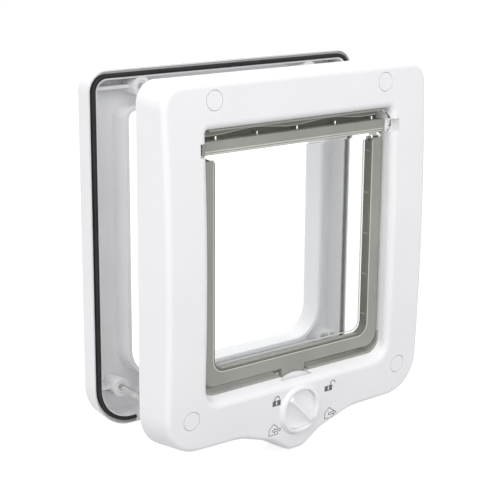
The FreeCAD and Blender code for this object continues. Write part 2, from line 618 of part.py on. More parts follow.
for k, step in enumerate((-1, -0.5, 0, 0.5, 1)):
    xs = "(%s - 9.5) * (%s)" % (FH, step)
    head_ribs.append(box("head_rib_%d" % k, "%s - 0.5" % xs, "%s + 0.5" % xs,
                         "0 - hinge_back - 1.6", F1 + " - 1", "hinge_z + 2.25", "hinge_z + 4.6"))
    rib_rooms.append(box("rib_room_%d" % k, "%s - 0.55" % xs, "%s + 0.55" % xs,
                         "0 - hinge_back", F1, "hinge_z + 2.2", "hinge_z + 4.65"))
flap_panel = fuse("flap_panel", [panel_bare] + head_ribs)

hinge_bar_block = box("hinge_bar_block", "0 - %s + 0.2" % FH, "%s - 0.2" % FH, "0 - hinge_back - 3.1",
                      "0 - hinge_back + 2.2", "hinge_z - 5.8", "hinge_z + 2.2")
hinge_bar_round = fillet("hinge_bar_round", hinge_bar_block, 0.8,
                         lambda e: all(p.y < -17 for p in ends(e)) and abs(ends(e)[0].x - ends(e)[1].x) > 10)
hinge_bar = cut("hinge_bar", hinge_bar_round, cyl_x("bar_bore", "rod_radius + 0.02", "0 - passage_width",
                                                    "passage_width", HY, "hinge_z"))
liner_block = box("liner_block", "0 - %s + 1.6" % FH, "%s - 1.6" % FH, "0 - hinge_back + 2.2", F1 + " - 2",
                  "hinge_z - 5.6", HEAD)
hinge_liner = cut("hinge_liner", liner_block, rib_rooms)
hinge_rod = cyl_x("hinge_rod", "rod_radius", "0 - %s - 7.6" % PW, PW + " + 7.6", HY, "hinge_z")

# Grey band over the channel with the latch tab
seal_a = flap_slab("seal_a", "0", F0, F0 + " + " + BAND, "hinge_z - 6.0", "9")
seal_b = flap_slab("seal_b", "8.2", F0 + " - 1", F0 + " + 2", "hinge_z", "2.4")
seal_head = box("seal_head", "0 - 90", "90", F0 + " - 1", F0 + " + 2", "hinge_z - 9.5", "hinge_z")
seal_ring = cut("seal_ring", seal_a, [seal_b, seal_head])
tab = box("tab", "0 - tab_width / 2", "tab_width / 2", F0 + " + 0.2", F0 + " + 3.4",
          "0 - flap_foot - tab_drop", "0 - flap_foot - 0.3")
tab_root = box("tab_root", "0 - tab_width / 2", "tab_width / 2", F0 + " + 0.2", F0 + " + " + BAND,
               "0 - flap_foot - 1", "0 - flap_foot + 2")
flap_seal = fuse("flap_seal", [seal_ring, tab, tab_root])

flap_magnet = box("flap_magnet", MX + " - 10", MX + " + 10", F0 + " + " + BAND, F1 + " - 2", "0 - flap_foot + 1.6",
                  "0 - flap_foot + 6.6")
frame_magnet = box("frame_magnet", MX + " - 10", MX + " + 10", "0 - 15.5", "0 - 9.5", "0 - passage_foot - 6.6",
                   "0 - passage_foot - 2.0")

# Soft strips that line the passage
strip_a = slab("strip_a", PW, "passage_top - 4", "passage_foot", "4", "10", "0 - 17.9", "0 - 10.6")
strip_b = slab("strip_b", PW + " - 1.6", "passage_top - 2", "passage_foot - 1.6", "2.4", "8.4", "0 - 19", "0 - 9")
strip_ring = cut("strip_ring", strip_a, strip_b)
strips = []
for side, x0, x1 in (("left", "0 - 90", "0 - tab_width / 2 - 2.6"), ("right", "tab_width / 2 + 2.6", "90")):
    zone = box("strip_zone_" + side, x0, x1, "0 - 30", "0", "0 - passage_foot - 1", "0 - passage_foot + 14")
    strips.append(("sill_strip_" + side, common("strip_of_" + side, strip_ring, zone)))
top_strip = box("top_strip", "0 - %s + 4" % PW, PW + " - 4", "0 - 21.4", "0 - 19.2", "passage_top - 1.1",
                "passage_top + 2.5")
top_fit = common("top_fit", top_strip, passage)

doc.recompute()

OUT = [("front_frame", front_frame), ("rear_frame", rear_frame), ("rear_gasket", rear_gasket)]
OUT += caps + screws
OUT += [("lock_dial", lock_dial), ("lock_cam", lock_cam), ("cam_washer", cam_washer), ("cam_screw", cam_screw),
        ("flap_panel", flap_panel), ("flap_seal", flap_seal), ("hinge_bar", hinge_bar),
        ("hinge_liner", hinge_liner), ("hinge_rod", hinge_rod), ("flap_magnet", flap_magnet),
        ("frame_magnet", frame_magnet)] + strips + [("top_strip", top_fit)]

for obj in doc.Objects:
    bad = [s for s in obj.State if s in ("Invalid", "Error")]
    if bad:
        raise RuntimeError("%s is %s" % (obj.Name, bad))
for node, obj in OUT:
    shape = obj.Shape
    if shape.isNull() or not shape.isValid():
        raise RuntimeError("%s has no valid shape" % node)
    if len(shape.Solids) != 1:
        print("SOLIDS", node, len(shape.Solids))
    obj.Label = node
    shape.exportStep("parts/%s.step" % node)
    bb = shape.BoundBox
    print("%-20s %7.1f %7.1f %7.1f  %7.1f %7.1f %7.1f  vol %9.0f" % (
        node, bb.XMin, bb.YMin, bb.ZMin, bb.XMax, bb.YMax, bb.ZMax, shape.Volume))
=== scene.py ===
# %% [markdown]
# A cat flap in two halves, dressed for the picture
# The real thing is a white plastic frame for indoors, a second frame for
# outdoors, and a clear flap between them that hangs from a rod. Both
# frames, the flap and every fastening come from the CAD model, and this
# lesson adds finishes, prints, soft pieces and fine detail. It could all be
# modelled again here, but then the sizes would drift, so the CAD shapes stay.

# %% Load the CAD model
import bpy
import bmesh
import math
from mathutils import Matrix, Vector
from mathutils.bvhtree import BVHTree
from mathutils.geometry import tessellate_polygon


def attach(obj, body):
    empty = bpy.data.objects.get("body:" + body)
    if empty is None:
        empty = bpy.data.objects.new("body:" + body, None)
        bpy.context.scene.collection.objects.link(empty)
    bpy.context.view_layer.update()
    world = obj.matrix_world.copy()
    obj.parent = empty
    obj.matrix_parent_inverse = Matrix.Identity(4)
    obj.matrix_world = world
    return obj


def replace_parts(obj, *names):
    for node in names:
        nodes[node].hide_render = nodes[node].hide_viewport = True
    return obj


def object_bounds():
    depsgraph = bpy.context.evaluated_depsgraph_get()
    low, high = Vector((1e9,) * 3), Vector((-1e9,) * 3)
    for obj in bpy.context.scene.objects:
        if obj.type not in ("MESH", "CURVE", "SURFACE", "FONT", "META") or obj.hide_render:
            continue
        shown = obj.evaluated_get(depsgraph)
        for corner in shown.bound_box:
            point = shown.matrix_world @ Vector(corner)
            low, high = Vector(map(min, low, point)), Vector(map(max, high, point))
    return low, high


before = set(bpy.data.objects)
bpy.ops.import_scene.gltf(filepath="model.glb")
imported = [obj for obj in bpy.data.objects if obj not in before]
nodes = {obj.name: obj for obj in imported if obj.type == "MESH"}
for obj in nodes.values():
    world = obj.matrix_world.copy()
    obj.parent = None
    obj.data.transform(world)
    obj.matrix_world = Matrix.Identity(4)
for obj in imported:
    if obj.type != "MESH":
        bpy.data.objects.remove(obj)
cad_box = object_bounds()
MM = 0.001
print("CAD nodes:", len(nodes), "box:", cad_box)

# %% [markdown]
# Camera
# The picture looks at the inner half from its left and a little from above,
# from less than a metre away through a long lens. A camera could be aimed by
# eye, but the two angles, the distance and the point it looks at say the same
# in a few numbers that can be read and changed.

# %% Place the camera
AZIMUTH, ELEVATION, ROLL = math.radians(-39.2), math.radians(15.2), math.radians(0.5)
LOOKS_AT = Vector((-37.6, -19.5, -2.7)) * MM
AWAY = 836.2 * MM
LENS, SENSOR, SHIFT_UP, NEAREST = 100.48, 36, 0.0306, 0.05


def camera_turn(azimuth, elevation, roll):
    """Columns: to the right in the picture, up in it, and towards the camera."""
    back = Vector((math.sin(azimuth) * math.cos(elevation),
                   -math.cos(azimuth) * math.cos(elevation), math.sin(elevation)))
    across = Vector((math.cos(azimuth), math.sin(azimuth), 0))
    upright = back.cross(across)
    right = across * math.cos(roll) + upright * math.sin(roll)
    up = upright * math.cos(roll) - across * math.sin(roll)
    return Matrix((right, up, back)).transposed(), back


turn, towards_camera = camera_turn(AZIMUTH, ELEVATION, ROLL)
camera_data = bpy.data.cameras.new("studio_camera")
camera_data.lens = LENS
camera_data.sensor_fit = "HORIZONTAL"
camera_data.sensor_width = SENSOR
camera_data.shift_y = SHIFT_UP
camera_data.clip_start = NEAREST
camera = bpy.data.objects.new("studio_camera", camera_data)
bpy.context.scene.collection.objects.link(camera)
camera.matrix_world = Matrix.Translation(LOOKS_AT + towards_camera * AWAY) @ turn.to_4x4()
bpy.context.scene.camera = camera
bpy.context.scene.view_settings.view_transform = "Standard"
print("camera stands at", [round(v, 3) for v in camera.matrix_world.translation])

# %% [markdown]
# Light and background
# White plastic on white paper needs very soft light, or its edges turn to
# hard stripes. One big lamp above and to the left gives the faces their small
# differences, weak ones at the left, in front and behind fill the shade, and
# the sky around does the rest. More light would also make the paper white,
# but it would wash out the plastic. So the paper's own material, and the
# sky's, answer the camera with white, and the plastic keeps its tone.

# %% Helpers for node trees
def link(tree, out_socket, in_socket):
    tree.links.new(out_socket, in_socket)


def add(tree, kind, **values):
    """A node of this kind, with plain attributes set by name."""
    node = tree.nodes.new(kind)
    for key, value in values.items():
        setattr(node, key, value)
    return node


def seen_directly(tree):
    """1 for rays from the camera, from a gloss or through glass."""
    path = add(tree, "ShaderNodeLightPath")
    first = add(tree, "ShaderNodeMath", operation="MAXIMUM")
    both = add(tree, "ShaderNodeMath", operation="MAXIMUM")
    link(tree, path.outputs["Is Camera Ray"], first.inputs[0])
    link(tree, path.outputs["Is Glossy Ray"], first.inputs[1])
    link(tree, first.outputs[0], both.inputs[0])
    link(tree, path.outputs["Is Transmission Ray"], both.inputs[1])
    return both.outputs[0]


# %% World
SKY, SKY_TINT = 0.80, (0.972, 0.972, 1.0, 1)
world = bpy.data.worlds.new("studio_sky")
bpy.context.scene.world = world
world.use_nodes = True
sky = world.node_tree
sky.nodes.clear()
sky_out = add(sky, "ShaderNodeOutputWorld")
sky_mix = add(sky, "ShaderNodeMixShader")
sky_light = add(sky, "ShaderNodeBackground")
sky_light.inputs["Color"].default_value = SKY_TINT
sky_light.inputs["Strength"].default_value = SKY
sky_white = add(sky, "ShaderNodeBackground")
sky_white.inputs["Color"].default_value = (1, 1, 1, 1)
sky_white.inputs["Strength"].default_value = 1.0
link(sky, seen_directly(sky), sky_mix.inputs[0])
link(sky, sky_light.outputs[0], sky_mix.inputs[1])
link(sky, sky_white.outputs[0], sky_mix.inputs[2])
link(sky, sky_mix.outputs[0], sky_out.inputs["Surface"])
print("sky strength:", SKY)

# %% Paper floor
PAPER_GREY, PAPER_GLOW, PAPER_SIZE, PAPER_GAP = 0.42, 0.80, 6, 0.0005
paper = bpy.data.materials.new("white_paper")
paper.use_nodes = True
sheet = paper.node_tree
sheet.nodes.clear()
sheet_out = add(sheet, "ShaderNodeOutputMaterial")
sheet_sum = add(sheet, "ShaderNodeAddShader")
sheet_lit = add(sheet, "ShaderNodeBsdfDiffuse")
sheet_lit.inputs["Color"].default_value = (PAPER_GREY, PAPER_GREY, PAPER_GREY, 1)
sheet_glow = add(sheet, "ShaderNodeEmission")
sheet_white = add(sheet, "ShaderNodeMath", operation="MULTIPLY")
link(sheet, seen_directly(sheet), sheet_white.inputs[0])
sheet_white.inputs[1].default_value = PAPER_GLOW
link(sheet, sheet_white.outputs[0], sheet_glow.inputs["Strength"])
link(sheet, sheet_lit.outputs[0], sheet_sum.inputs[0])
link(sheet, sheet_glow.outputs[0], sheet_sum.inputs[1])
link(sheet, sheet_sum.outputs[0], sheet_out.inputs["Surface"])

floor_height = cad_box[0][2] - PAPER_GAP
bpy.ops.mesh.primitive_plane_add(size=PAPER_SIZE, location=(0, 0, 0))
floor = bpy.context.object
floor.name = "paper_floor"
floor.data.transform(Matrix.Translation((0, 0, floor_height)))
floor.data.materials.append(paper)
print("floor at z", round(floor_height, 4))

# %% Lamps
def soft_lamp(name, azimuth, elevation, distance, size, power, tint=(1, 1, 1)):
    """A square lamp that looks at the middle of the flap."""
    data = bpy.data.lights.new(name, "AREA")
    data.size = size
    data.energy = power
    data.color = tint
    lamp = bpy.data.objects.new(name, data)
    bpy.context.scene.collection.objects.link(lamp)
    a, e = math.radians(azimuth), math.radians(elevation)
    away = Vector((math.sin(a) * math.cos(e), -math.cos(a) * math.cos(e), math.sin(e)))
    lamp.location = away * distance
    lamp.rotation_euler = away.to_track_quat("Z", "Y").to_euler()
    return lamp


lamps = [
    soft_lamp("lamp_above_left", -50, 38, 2.4, size=2.1, power=24, tint=(1.0, 0.99, 0.985)),
    soft_lamp("lamp_left", -80, 10, 1.5, size=1.2, power=2.0, tint=(0.985, 0.985, 1.0)),
    soft_lamp("lamp_front", -4, 20, 1.8, size=1.4, power=4.5, tint=(0.985, 0.99, 1.0)),
    soft_lamp("lamp_behind", 165, 40, 1.6, size=1.2, power=6),
]
print("lamps:", len(lamps))

# %% [markdown]
# Mould grain
# Every plastic part here comes out of a steel mould, and the mould leaves a
# very fine grain and slow changes of tone. The grain could be painted into
# each material by hand, but one node group with a few inputs keeps the same
# kind of surface on white, grey, dark and clear plastic at its own strength.

# %% Build the mould grain group
def make_mould_grain():
    """Out: a slow tone, a fine speckle, and a normal with both as bumps."""
    group = bpy.data.node_groups.new("mould_grain", "ShaderNodeTree")
    for name, value in (("Grains per metre", 2500.0), ("Grain height", 0.00002),
                        ("Patches per metre", 30.0), ("Patch height", 0.0)):
        socket = group.interface.new_socket(name, in_out="INPUT", socket_type="NodeSocketFloat")
        socket.default_value = value
    for name, kind in (("Tone", "NodeSocketFloat"), ("Fine", "NodeSocketFloat"),
                       ("Normal", "NodeSocketVector")):
        group.interface.new_socket(name, in_out="OUTPUT", socket_type=kind)
    given, result = add(group, "NodeGroupInput"), add(group, "NodeGroupOutput")
    place = add(group, "ShaderNodeTexCoord")
    patches = add(group, "ShaderNodeTexNoise")
    patches.inputs["Detail"].default_value = 3
    patches.inputs["Roughness"].default_value = 0.45
    grains = add(group, "ShaderNodeTexNoise")
    grains.inputs["Detail"].default_value = 2
    grains.inputs["Roughness"].default_value = 0.6
    for noise, scale in ((patches, "Patches per metre"), (grains, "Grains per metre")):
        link(group, place.outputs["Object"], noise.inputs["Vector"])
        link(group, given.outputs[scale], noise.inputs["Scale"])
    slow = add(group, "ShaderNodeBump")
    slow.inputs["Strength"].default_value = 1.0
    fine = add(group, "ShaderNodeBump")
    fine.inputs["Strength"].default_value = 1.0
    link(group, given.outputs["Patch height"], slow.inputs["Distance"])
    link(group, patches.outputs["Fac"], slow.inputs["Height"])
    link(group, given.outputs["Grain height"], fine.inputs["Distance"])
    link(group, grains.outputs["Fac"], fine.inputs["Height"])
    link(group, slow.outputs["Normal"], fine.inputs["Normal"])
    link(group, patches.outputs["Fac"], result.inputs["Tone"])
    link(group, grains.outputs["Fac"], result.inputs["Fine"])
    link(group, fine.outputs["Normal"], result.inputs["Normal"])
    return group


mould_grain = make_mould_grain()
print("group:", mould_grain.name)

# %% A plastic from the group
NOISE_LOW, NOISE_HIGH = 0.3, 0.7


def between(tree, factor, dark, light):
    """Colour that goes from dark to light with the factor."""
    mix = add(tree, "ShaderNodeMix", data_type="RGBA")
    link(tree, factor, mix.inputs["Factor"])
    mix.inputs["A"].default_value = (*dark, 1)
    mix.inputs["B"].default_value = (*light, 1)
    return mix.outputs["Result"]


def spread(tree, factor, low, high):
    """The usual range of a noise stretched over low to high."""
    ranged = add(tree, "ShaderNodeMapRange")
    link(tree, factor, ranged.inputs["Value"])
    ranged.inputs["From Min"].default_value = NOISE_LOW
    ranged.inputs["From Max"].default_value = NOISE_HIGH
    ranged.inputs["To Min"].default_value = low
    ranged.inputs["To Max"].default_value = high
    return ranged.outputs["Result"]


def moulded(name, dark, light, rough, grains, height, patches, waves=0.0, metal=0.0):
    """A finish between two tones and two roughnesses, with its own grain in metres."""
    material = bpy.data.materials.new(name)
    material.use_nodes = True
    tree = material.node_tree
    tree.nodes.clear()
    out = add(tree, "ShaderNodeOutputMaterial")
    shader = add(tree, "ShaderNodeBsdfPrincipled")
    grain = add(tree, "ShaderNodeGroup", node_tree=mould_grain)
    grain.inputs["Grains per metre"].default_value = grains
    grain.inputs["Grain height"].default_value = height
    grain.inputs["Patches per metre"].default_value = patches
    grain.inputs["Patch height"].default_value = waves
    link(tree, between(tree, spread(tree, grain.outputs["Tone"], 0, 1), dark, light),
         shader.inputs["Base Color"])
    link(tree, spread(tree, grain.outputs["Fine"], *rough), shader.inputs["Roughness"])
    link(tree, grain.outputs["Normal"], shader.inputs["Normal"])
    shader.inputs["Metallic"].default_value = metal
    link(tree, shader.outputs[0], out.inputs["Surface"])
    return material


def shader_of(material):
    return next(n for n in material.node_tree.nodes if n.type == "BSDF_PRINCIPLED")


# %% White, rubber and metal finishes
RUBBER_GRAIN = {"grains": 1900.0, "height": 0.00003, "patches": 40.0}
white_abs = moulded("white_abs", (0.855, 0.858, 0.868), (0.885, 0.887, 0.893), (0.30, 0.40),
                    grains=2600.0, height=0.000012, patches=22.0)
shader_of(white_abs).inputs["IOR"].default_value = 1.52
grey_tpe = moulded("grey_soft_rubber", (0.285, 0.293, 0.255), (0.33, 0.338, 0.297),
                   (0.42, 0.56), **RUBBER_GRAIN)
# dark liner rubber; on the passage lining and the rim filling it is also painted shade
dark_rubber_and_shade = moulded("dark_rubber_and_painted_shade", (0.085, 0.086, 0.072), (0.115, 0.116, 0.098),
                   (0.45, 0.6), **RUBBER_GRAIN)
black_foam = moulded("black_weather_strip", (0.011, 0.010, 0.010), (0.021, 0.0185, 0.0185),
                     (0.72, 0.9), grains=1500.0, height=0.00009, patches=90.0, waves=0.0004)
zinc = moulded("zinc_plated_steel", (0.52, 0.53, 0.53), (0.68, 0.68, 0.66), (0.28, 0.44),
               grains=3200.0, height=0.00001, patches=160.0, metal=1.0)
nickel = moulded("nickel_plate", (0.55, 0.53, 0.50), (0.66, 0.64, 0.61), (0.22, 0.34),
                 grains=2400.0, height=0.000008, patches=120.0, metal=1.0)
print("materials:", len(bpy.data.materials))

# %% [markdown]
# Clear plastic
# The flap is one clear, hard moulding with polished faces. Glass that also
# bends the light of the lamps would be exact, but it leaves dark and noisy
# shade behind the flap. So the shader is clear for the eye, and rays that
# look for a lamp go straight through it.

# %% Clear plastic
clear_plastic = moulded("clear_plastic", (0.955, 0.965, 0.962), (0.97, 0.978, 0.975),
                        (0.035, 0.06), grains=2500.0, height=0.000002, patches=45.0,
                        waves=0.00004)
shader_of(clear_plastic).inputs["Transmission Weight"].default_value = 1.0
shader_of(clear_plastic).inputs["IOR"].default_value = 1.50


def let_light_pass(material, tint=(0.93, 0.94, 0.935, 1)):
    """Shadow rays go straight through, so the wall behind is lit."""
    tree = material.node_tree
    out = next(n for n in tree.nodes if n.type == "OUTPUT_MATERIAL")
    path = add(tree, "ShaderNodeLightPath")
    mix = add(tree, "ShaderNodeMixShader")
    through = add(tree, "ShaderNodeBsdfTransparent")
    through.inputs["Color"].default_value = tint
    link(tree, path.outputs["Is Shadow Ray"], mix.inputs[0])
    link(tree, shader_of(material).outputs[0], mix.inputs[1])
    link(tree, through.outputs[0], mix.inputs[2])
    link(tree, mix.outputs[0], out.inputs["Surface"])


let_light_pass(clear_plastic)
print("shadow rays pass:", clear_plastic.name)

# %% [markdown]
# Finishes of the CAD pieces
# The frames, the dial, its cam and the caps are one white plastic. The strips
# are soft and grey, the fastenings are zinc plated and the magnets nickel
# plated. A finish could be picked piece by piece in the editor, but a table
# shows at once that no piece is left bare.

# %% Give each CAD node its finish
finish_of = {
    "front_frame": white_abs, "rear_frame": white_abs,
    "lock_dial": white_abs, "lock_cam": white_abs,
    "cap_top_left": white_abs, "cap_top_right": white_abs,
    "cap_bottom_left": white_abs, "cap_bottom_right": white_abs,
    "flap_panel": clear_plastic, "flap_seal": grey_tpe, "hinge_bar": grey_tpe,
    "hinge_liner": dark_rubber_and_shade, "top_strip": grey_tpe,
    "sill_strip_left": grey_tpe, "sill_strip_right": grey_tpe, "rear_gasket": black_foam,
    "hinge_rod": zinc, "cam_washer": zinc, "cam_screw": zinc,
    "screw_top_left": zinc, "screw_top_right": zinc,
    "screw_bottom_left": zinc, "screw_bottom_right": zinc,
    "flap_magnet": nickel, "frame_magnet": nickel,
}
for name, material in finish_of.items():
    for spot in nodes[name].material_slots:
        spot.material = material
print("finished:", len(finish_of), "of", len(nodes), "missing:", sorted(set(nodes) - set(finish_of)))

# %% [markdown]
# Flatter face of the inner half
# The face bows a little less on the real one, so its rim stands further out
# than in the CAD model, and the lip under the dial is closed. The moulding
# could be drawn again from nothing, but the CAD shape is right in all else.
# So a copy of it and of the four flush caps is pulled towards the front, more
# at head and foot than in the middle, and takes their place.

# %% How far the front is pulled
# All in mm. Depths run along y, and the front is the lower number.
FACE_TOP, FACE_BOW, FACE_MIDDLE, FACE_SPAN = -27.0, 7.5, -6.0, 118.0
LESS_BOW, FACE_EDGE, TOUCH = 2.8, 3.5, 0.01
DIAL_HEIGHT, DIAL_HOLE, RING_OUTSIDE, RING_TOP = -101.7, 14.2, 22, -26.4
PASSAGE_HALF, PASSAGE_FOOT, PASSAGE_HEAD = 79, -83, 86
START_IN_PASSAGE, START_IN_SHELL = -17.4, -8.0


def pulled(x, y, z):
    """New depth of a point of the inner half, in mm."""
    high = ((z - FACE_MIDDLE) / FACE_SPAN) ** 2
    face, pull = FACE_TOP + FACE_BOW * high, LESS_BOW * high
    from_dial = math.hypot(x, z - DIAL_HEIGHT)
    in_passage = abs(x) < PASSAGE_HALF and PASSAGE_FOOT < z < PASSAGE_HEAD
    start = START_IN_PASSAGE if in_passage else START_IN_SHELL
    if from_dial < DIAL_HOLE or y > start:
        return y
    if y < face - TOUCH and from_dial < RING_OUTSIDE:
        return RING_TOP + (y - RING_TOP) * (face - pull - RING_TOP) / (face - RING_TOP)
    return y - pull * min(1.0, (start - y) / (start - face - FACE_EDGE))


def pulled_normal(p, n, step=0.05):
    """Normal of the surface after the pull."""
    x, y, z = p
    across = (pulled(x + step, y, z) - pulled(x - step, y, z)) / (2 * step)
    along = max(0.2, (pulled(x, y + step, z) - pulled(x, y - step, z)) / (2 * step))
    upward = (pulled(x, y, z + step) - pulled(x, y, z - step)) / (2 * step)
    return Vector((n.x - across / along * n.y, n.y / along,
                   n.z - upward / along * n.y)).normalized()


print("a point at depth -20 near the head goes to", round(pulled(0, -20, 105), 2))

# %% Close the lip under the dial
SLIT_LOW, SLIT_HIGH, FOLD = (-15.1, -20.0, -126.0), (15.1, -19.2, -120.0), 0.6


def lip_patch(mesh):
    """Points, faces and normals that close the thin slit in the rim, in mm."""
    build = bmesh.new()
    build.from_mesh(mesh)
    bmesh.ops.remove_doubles(build, verts=build.verts, dist=2e-6)

    def at_slit(edge):
        return all(low < value < high for v in edge.verts
                   for low, value, high in zip(SLIT_LOW, v.co / MM, SLIT_HIGH))

    edges = [e for e in build.edges if e.calc_face_angle(0) > FOLD and at_slit(e)]
    skin = {v: sum((f.normal for f in v.link_faces if f.normal.y < -0.2), Vector()).normalized()
            for e in edges for v in e.verts}
    order = list(skin)
    where = {v: i for i, v in enumerate(order)}
    made = bmesh.ops.triangle_fill(build, edges=edges, use_beauty=True)["geom"]
    faces = []
    for f in made:
        if isinstance(f, bmesh.types.BMFace):
            turn = [where[v] for v in f.verts]
            faces.append(turn if f.normal.y < 0 else turn[::-1])
    points, normals = [v.co / MM for v in order], [skin[v] for v in order]
    build.free()
    return points, faces, normals


patch = lip_patch(bpy.data.objects["front_frame"].data)
print("slit closed with", len(patch[1]), "faces")

# %% Copies with new depths
def as_piece(name, mesh, material, body):
    """An object at the origin for this mesh, with its finish, slot and body."""
    piece = bpy.data.objects.new(name, mesh)
    bpy.context.scene.collection.objects.link(piece)
    mesh.materials.append(material)
    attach(piece, body)
    return piece


def moved_copy(node, name, body, new_depth, new_normal, patch=None):
    """A copy of a node with new depths, standing for that node."""
    source = bpy.data.objects[node].data
    points = [v.co / MM for v in source.vertices]
    faces = [list(f.vertices) for f in source.polygons]
    normals = [new_normal(points[c.vertex_index], n.vector)
               for c, n in zip(source.loops, source.corner_normals)]
    if patch:
        more, caps, skin = patch
        shift = len(points)
        points += more
        for turn in caps:
            faces.append([shift + i for i in turn])
            normals += [new_normal(more[i], skin[i]) for i in turn]
    mesh = bpy.data.meshes.new(name)
    mesh.from_pydata([Vector((x, new_depth(x, y, z), z)) * MM for x, y, z in points], [], faces)
    mesh.polygons.foreach_set("use_smooth", [True] * len(faces))
    mesh.normals_split_custom_set(normals)
    piece = as_piece(name, mesh, finish_of[node], body)
    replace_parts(piece, node)
    print(name, len(faces), "faces, stands for", node)
    return piece


inner_half = moved_copy("front_frame", "inner_half", "frame",
                        pulled, pulled_normal, patch)
for corner in ("top_left", "top_right", "bottom_left", "bottom_right"):
    moved_copy("cap_" + corner, "flush_cap_" + corner, "frame",
               pulled, pulled_normal)

# %% [markdown]
# Prints round the dial
# Four small signs are pad printed on the bowed face: a closed and an open
# padlock above, a house with an arrow in and one with an arrow out below. They
# could be painted in the material, but a few thin shapes that follow the bow
# stay sharp at any distance and can be moved by their points.

# %% Where the bowed face lies
IN_FRONT = -60
face_mesh = inner_half.data
face_tree = BVHTree.FromPolygons([v.co.copy() for v in face_mesh.vertices],
                                 [tuple(f.vertices) for f in face_mesh.polygons])


def face_y(x, z):
    """Depth of the moulding's front at this place, in mm."""
    hit = face_tree.ray_cast(Vector((x, IN_FRONT, z)) * MM, Vector((0, 1, 0)))[0]
    return hit.y / MM


print("face beside the dial:", round(face_y(30, DIAL_HEIGHT), 2))

# %% Outlines with a width
def side_steps(points, closed):
    """For each point, the mitred step to the left of the line."""
    steps, count = [], len(points)
    for i, p in enumerate(points):
        before = points[i - 1] if closed or i else points[0]
        after = points[(i + 1) % count] if closed or i < count - 1 else points[-1]
        a, b = Vector(p) - Vector(before), Vector(after) - Vector(p)
        a = a if a.length > 1e-6 else b
        b = b if b.length > 1e-6 else a
        a, b = a.normalized(), b.normalized()
        middle = Vector((-a.y - b.y, a.x + b.x)).normalized()
        steps.append(middle / max(0.35, middle.dot(Vector((-a.y, a.x)))))
    return steps


def line_shape(points, width, closed=False):
    """Loops of a drawn line: one for an open line, outer and inner for a closed one."""
    steps = side_steps(points, closed)
    left = [tuple(Vector(p) + s * width / 2) for p, s in zip(points, steps)]
    right = [tuple(Vector(p) - s * width / 2) for p, s in zip(points, steps)]
    return [left, right] if closed else [left + right[::-1]]


def arc(cx, cz, radius, start, end, steps=10):
    """Points from the start to the end angle, in degrees."""
    turns = [math.radians(start + (end - start) * k / steps) for k in range(steps + 1)]
    return [(cx + radius * math.cos(t), cz + radius * math.sin(t)) for t in turns]


print("a half circle drawn with", len(line_shape(arc(0, 0, 1, 0, 180), 0.1)[0]), "points")

# %% Thin solids from outlines
INK_OVER, INK_UNDER = 0.07, 0.02


def closed_mesh(name, build):
    """The shape as a mesh of this name, with its faces turned outwards."""
    bmesh.ops.recalc_face_normals(build, faces=build.faces)
    mesh = bpy.data.meshes.new(name)
    build.to_mesh(mesh)
    build.free()
    return mesh


def thin_solid(name, shapes, near=None, far=None):
    """Closed outlines with a depth from near to far, or laid on the bowed face."""
    build = bmesh.new()
    for loops in shapes:
        flat = [p for loop in loops for p in loop]
        triangles = tessellate_polygon([[Vector((x, z, 0)) for x, z in loop] for loop in loops])
        front, rear = [], []
        for x, z in flat:
            y = face_y(x, z) - INK_OVER if near is None else near
            front.append(build.verts.new(Vector((x, y, z)) * MM))
        for x, z in flat:
            y = face_y(x, z) + INK_UNDER if far is None else far
            rear.append(build.verts.new(Vector((x, y, z)) * MM))
        for a, b, c in triangles:
            build.faces.new((front[a], front[b], front[c]))
            build.faces.new((rear[c], rear[b], rear[a]))
        start = 0
        for loop in loops:
            n = len(loop)
            for k in range(n):
                a, b = start + k, start + (k + 1) % n
                build.faces.new((front[a], front[b], rear[b], rear[a]))
            start += n
    return closed_mesh(name, build)


print_ink = moulded("print_ink", (0.085, 0.086, 0.105), (0.115, 0.116, 0.14), (0.42, 0.55),
                    grains=3000.0, height=0.000006, patches=400.0)
print("ink:", print_ink.name)

# %% Padlocks and houses
PADLOCK_HALF, PADLOCK_HIGH, KEY_HALF, KEY_HIGH = 3.2, 1.85, 0.5, 1.3
SHACKLE_RADIUS, SHACKLE_LINE, HOUSE_LINE = 2.0, 0.55, 0.42
HOUSE_HALF, HOUSE_FOOT, DOOR_LOW, DOOR_HIGH = 3.5, -3.6, -2.4, 0.1
EAVES_LEFT, EAVES_RIGHT, RIDGE = 0.6, 1.0, 3.7
BARB_LONG, BARB_HIGH, STEM_HALF = 2.0, 1.5, 0.65


def padlock(x, z, shackle_x, lift):
    """Body with a key slot, and a shackle over it."""
    body = [(x - PADLOCK_HALF, z - PADLOCK_HIGH), (x + PADLOCK_HALF, z - PADLOCK_HIGH),
            (x + PADLOCK_HALF, z + PADLOCK_HIGH), (x - PADLOCK_HALF, z + PADLOCK_HIGH)]
    slot = [(x - KEY_HALF, z - KEY_HIGH), (x - KEY_HALF, z + KEY_HIGH),
            (x + KEY_HALF, z + KEY_HIGH), (x + KEY_HALF, z - KEY_HIGH)]
    loop = arc(shackle_x, z + 1.3 + lift, SHACKLE_RADIUS, 0, 180)
    shackle = [(shackle_x + SHACKLE_RADIUS, z + 1.9 + lift * 0.55)] + loop \
        + [(shackle_x - SHACKLE_RADIUS, z + 1.9)]
    return [[body, slot], line_shape(shackle, SHACKLE_LINE)]


